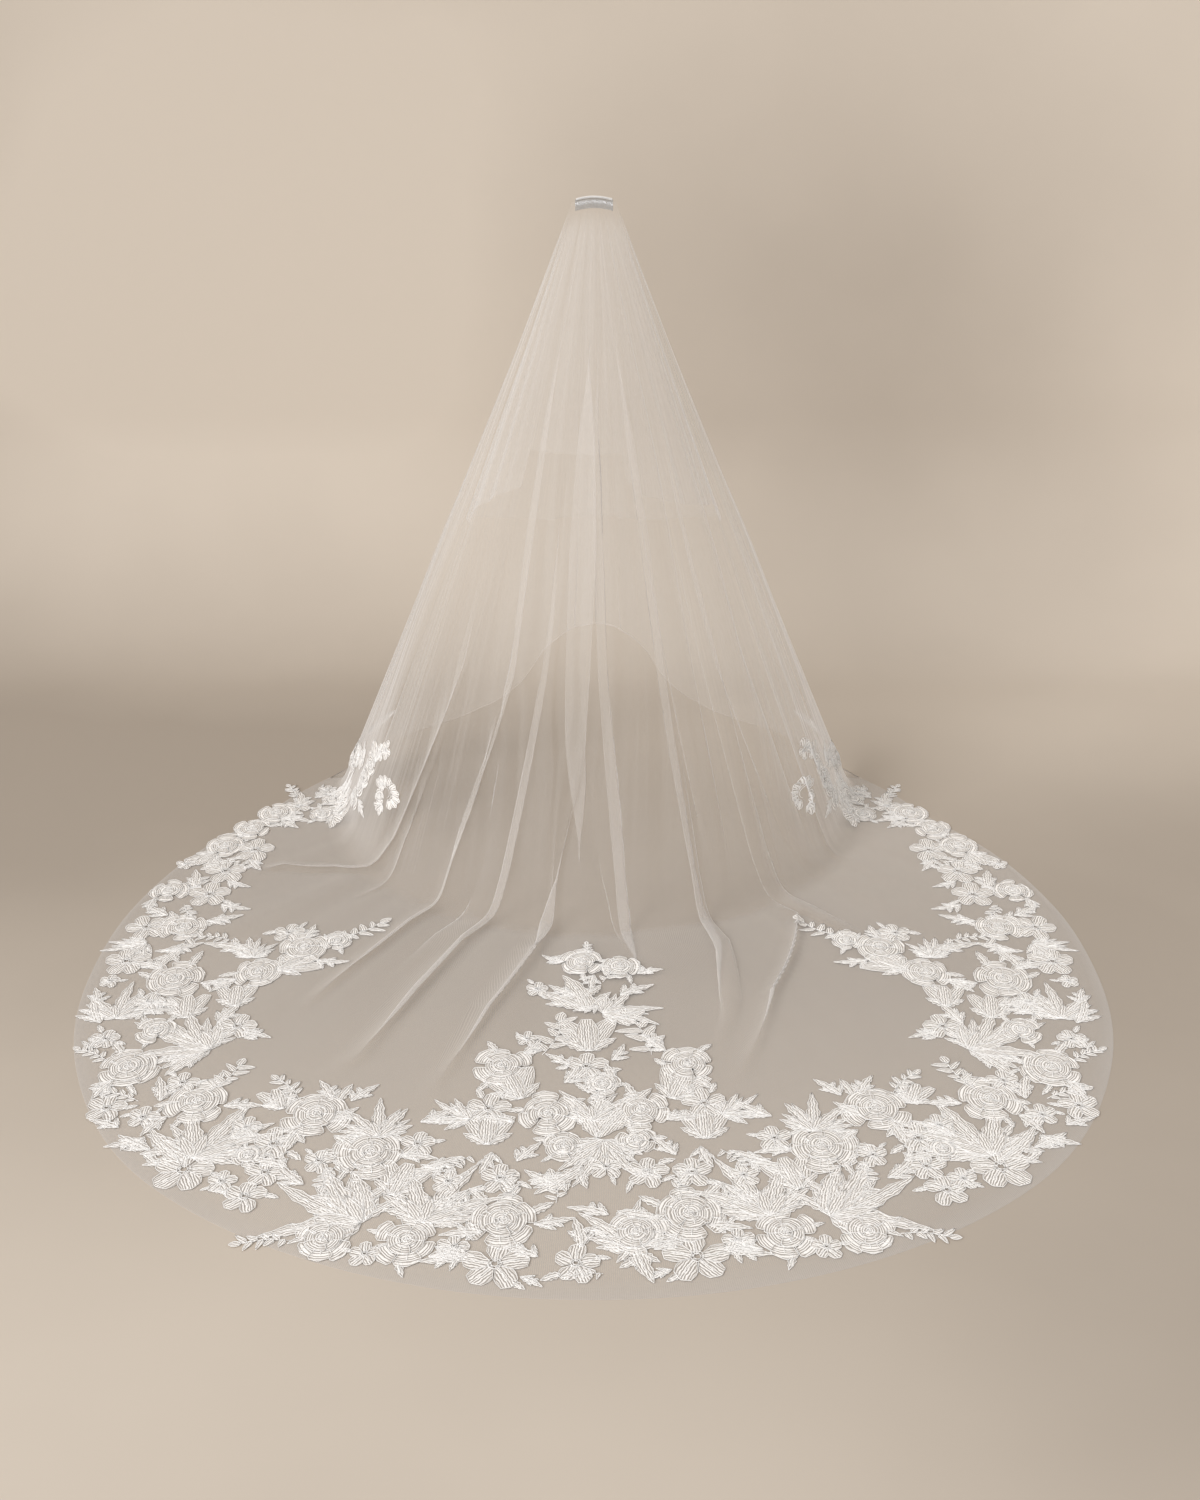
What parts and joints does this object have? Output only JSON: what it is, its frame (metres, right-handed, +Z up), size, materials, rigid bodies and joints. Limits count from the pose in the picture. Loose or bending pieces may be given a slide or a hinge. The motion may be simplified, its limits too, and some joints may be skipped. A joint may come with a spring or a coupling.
{
  "type": "bridal_veil",
  "caption": "Cathedral bridal veil in two tiers of sheer tulle on a wire hair comb, its train spread round and bordered with corded floral lace",
  "frame": {"origin": "top middle of the comb's rail, where it sits in the hair", "axes": "+X to the right as seen in the picture, +Y away from the train, +Z up"},
  "size_m": [2.3226, 2.3547, 1.63],
  "materials": {
    "comb_metal": "silver plated wire",
    "tulle": "sheer soft net, off white",
    "lace_thread": "corded embroidery, off white"
  },
  "bodies": {
    "root": {"comb": "comb_metal", "blusher_tier": "tulle", "veil_tier": "tulle", "lace_shoulder_left": "lace_thread", "lace_shoulder_right": "lace_thread", "lace_back_left": "lace_thread", "lace_back_right": "lace_thread", "lace_flank_left": "lace_thread", "lace_flank_right": "lace_thread", "lace_side_left": "lace_thread", "lace_side_right": "lace_thread", "lace_spur_left": "lace_thread", "lace_spur_right": "lace_thread", "lace_bell_left": "lace_thread", "lace_bell_right": "lace_thread", "lace_lower_left": "lace_thread", "lace_lower_right": "lace_thread", "lace_garland_left": "lace_thread", "lace_garland_right": "lace_thread", "lace_spray_left": "lace_thread", "lace_spray_right": "lace_thread", "lace_arm_left": "lace_thread", "lace_arm_right": "lace_thread", "lace_hem_left": "lace_thread", "lace_hem_right": "lace_thread", "lace_bouquet": "lace_thread", "lace_stem": "lace_thread", "lace_heart": "lace_thread", "lace_corner_left": "lace_thread", "lace_corner_right": "lace_thread", "lace_scroll_left": "lace_thread", "lace_scroll_right": "lace_thread"}
  },
  "joints": []
}
